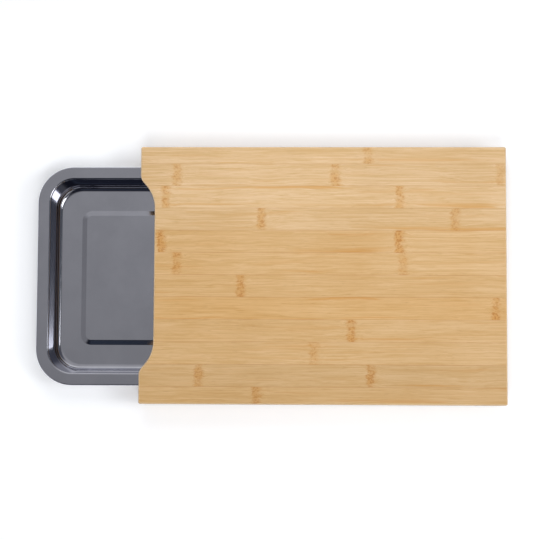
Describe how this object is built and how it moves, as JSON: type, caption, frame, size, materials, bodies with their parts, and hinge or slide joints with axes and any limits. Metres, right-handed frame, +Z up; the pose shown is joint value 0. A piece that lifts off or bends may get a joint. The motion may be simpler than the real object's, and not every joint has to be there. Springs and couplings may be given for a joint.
{
  "type": "cutting board with drawer tray",
  "caption": "Bamboo cutting board on two side rails, with a notched front end and a steel tray that slides out from under it like a drawer.",
  "frame": {"origin": "on the worktop, under the middle of the board and the drawn-out tray taken together", "axes": "+X from the tray's front end to the crossbar, along the slide; +Y to the left as seen from the tray's front; +Z up, out of the chopping face"},
  "size_m": [0.49, 0.268, 0.051],
  "materials": {
    "bamboo_face": "oiled bamboo, satin",
    "bamboo_core": "bamboo, cross-laid core",
    "bamboo_back": "oiled bamboo, satin",
    "bamboo_rail": "oiled bamboo, satin",
    "dowel_wood": "plain beech",
    "tray_steel": "satin rim and floor, polished wall",
    "screw_steel": "bright plated",
    "foot_silicone": "matte silicone"
  },
  "bodies": {
    "board": {"face_strip_01": "bamboo_face", "face_strip_02": "bamboo_face", "face_strip_03": "bamboo_face", "face_strip_04": "bamboo_face", "face_strip_05": "bamboo_face", "face_strip_06": "bamboo_face", "face_strip_07": "bamboo_face", "face_strip_08": "bamboo_face", "face_strip_09": "bamboo_face", "face_strip_10": "bamboo_face", "face_strip_11": "bamboo_face", "face_strip_12": "bamboo_face", "core_slat_01": "bamboo_core", "core_slat_02": "bamboo_core", "core_slat_03": "bamboo_core", "core_slat_04": "bamboo_core", "core_slat_05": "bamboo_core", "core_slat_06": "bamboo_core", "core_slat_07": "bamboo_core", "core_slat_08": "bamboo_core", "core_slat_09": "bamboo_core", "core_slat_10": "bamboo_core", "core_slat_11": "bamboo_core", "core_slat_12": "bamboo_core", "core_slat_13": "bamboo_core", "core_slat_14": "bamboo_core", "core_slat_15": "bamboo_core", "core_slat_16": "bamboo_core", "core_slat_17": "bamboo_core", "core_slat_18": "bamboo_core", "core_slat_19": "bamboo_core", "back_strip_01": "bamboo_back", "back_strip_02": "bamboo_back", "back_strip_03": "bamboo_back", "back_strip_04": "bamboo_back", "back_strip_05": "bamboo_back", "back_strip_06": "bamboo_back", "back_strip_07": "bamboo_back", "back_strip_08": "bamboo_back", "back_strip_09": "bamboo_back", "back_strip_10": "bamboo_back", "back_strip_11": "bamboo_back", "back_strip_12": "bamboo_back", "rail_left": "bamboo_rail", "rail_right": "bamboo_rail", "crossbar": "bamboo_rail", "crossbar_dowels": "dowel_wood", "left_rail_screws": "screw_steel", "right_rail_screws": "screw_steel", "crossbar_screws": "screw_steel", "foot_front_left": "foot_silicone", "foot_front_right": "foot_silicone", "foot_rear_left": "foot_silicone", "foot_rear_right": "foot_silicone"},
    "tray": {"tray": "tray_steel"}
  },
  "joints": [
    {"name": "tray_slide", "type": "slide", "parent": "board", "child": "tray", "axis": [-1, 0, 0], "range_m": [-0.11, 0.25]}
  ]
}
